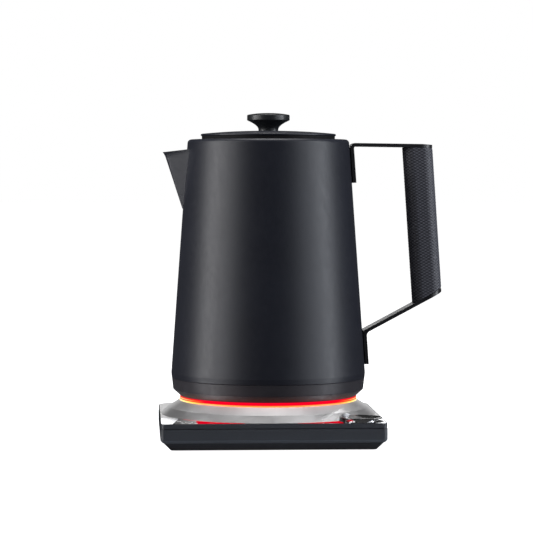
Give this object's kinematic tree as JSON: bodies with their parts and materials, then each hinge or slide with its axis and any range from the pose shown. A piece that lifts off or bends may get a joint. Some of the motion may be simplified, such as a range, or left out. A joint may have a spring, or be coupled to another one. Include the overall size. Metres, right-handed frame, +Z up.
{
  "type": "electric kettle with heating base",
  "caption": "Tapered electric kettle with V spout, drop-in lid and strap handle, lifting off a square base with glowing ring, touch panel and rotary dial.",
  "frame": {"origin": "on the kettle's vertical axis, in the plane of the non-slip ring's underside", "axes": "+Z up along the kettle's axis, -X towards the spout, +X towards the handle, -Y towards the control panel"},
  "size_m": [0.2, 0.1556, 0.2309],
  "materials": {
    "body_paint": "matte black powder coat",
    "strap_paint": "satin black powder coat",
    "band_plastic": "matte, fine grain",
    "base_plastic": "matte, fine grain",
    "knob_plastic": "satin",
    "grip_rubber": "matte with a raised dot texture",
    "satin_deck": "bead blasted satin",
    "bright_trim": "polished",
    "panel_glass": "high gloss black",
    "dial_gloss": "high gloss black",
    "dial_chrome": "polished",
    "icon_white": "printed mark",
    "swivel_plastic": "low friction",
    "inner_plastic": "heat resistant, matte",
    "inner_steel": "brushed",
    "screw_steel": "zinc plated",
    "heat_aluminium": "cast",
    "contact_brass": "plated",
    "circuit_board": "solder mask",
    "component_plastic": "moulded",
    "led_resin": "clear resin",
    "rubber_feet": "matte",
    "red_glow": "lit translucent red",
    "amber_glow": "lit translucent amber"
  },
  "bodies": {
    "base": {"foot_ring": "rubber_feet", "base_tub": "base_plastic", "base_screws": "screw_steel", "base_housing": "base_plastic", "top_frame": "base_plastic", "deck_plate": "satin_deck", "front_trim": "bright_trim", "control_glass": "panel_glass", "glow_windows": "red_glow", "panel_icons": "icon_white", "dial_well": "panel_glass", "light_ring": "red_glow", "light_line": "amber_glow", "light_board": "circuit_board", "ring_leds": "led_resin", "connector_dish": "inner_plastic", "base_connector": "inner_plastic", "connector_contacts": "contact_brass", "power_board": "circuit_board", "power_parts": "component_plastic", "control_board": "circuit_board", "encoder": "component_plastic", "cord_gland": "rubber_feet"},
    "connector_collar": {"swivel_ring": "swivel_plastic"},
    "kettle": {"body_shell": "body_paint", "lower_band": "band_plastic", "vessel_floor": "inner_steel", "heat_plate": "heat_aluminium", "heating_element": "inner_steel", "temperature_probe": "inner_steel", "coupler": "inner_plastic", "coupler_contacts": "contact_brass", "under_cover": "inner_plastic", "spout": "body_paint", "spout_filter": "inner_steel", "upper_strap": "strap_paint", "lower_strap": "strap_paint", "upper_pad": "rubber_feet", "lower_pad": "rubber_feet", "strap_rivets": "strap_paint", "grip": "grip_rubber", "grip_post": "screw_steel", "grip_screws": "screw_steel"},
    "lid": {"lid_cap": "body_paint", "lid_gasket": "rubber_feet", "lid_liner": "inner_steel", "lid_knob": "knob_plastic", "knob_screw": "screw_steel"},
    "dial_plunger": {"dial_stem": "screw_steel"},
    "dial_knob": {"dial": "dial_chrome", "dial_cap": "dial_gloss"}
  },
  "joints": [
    {"name": "kettle_turn", "type": "hinge", "parent": "base", "child": "connector_collar", "pos_m": [0, 0, 0.029], "axis": [0, 0, 1], "continuous": true},
    {"name": "kettle_lift", "type": "slide", "parent": "connector_collar", "child": "kettle", "axis": [0, 0, 1], "range_m": [0, 0.08]},
    {"name": "lid_lift", "type": "slide", "parent": "kettle", "child": "lid", "axis": [0, 0, 1], "range_m": [0, 0.05]},
    {"name": "dial_press", "type": "slide", "parent": "base", "child": "dial_plunger", "axis": [0, 0, -1], "range_m": [0, 0.0007], "stiffness_N_per_m": 900, "springref_m": -0.0015},
    {"name": "dial_turn", "type": "hinge", "parent": "dial_plunger", "child": "dial_knob", "pos_m": [0.0604, -0.062, 0.0205], "axis": [0, 0, 1], "continuous": true}
  ]
}
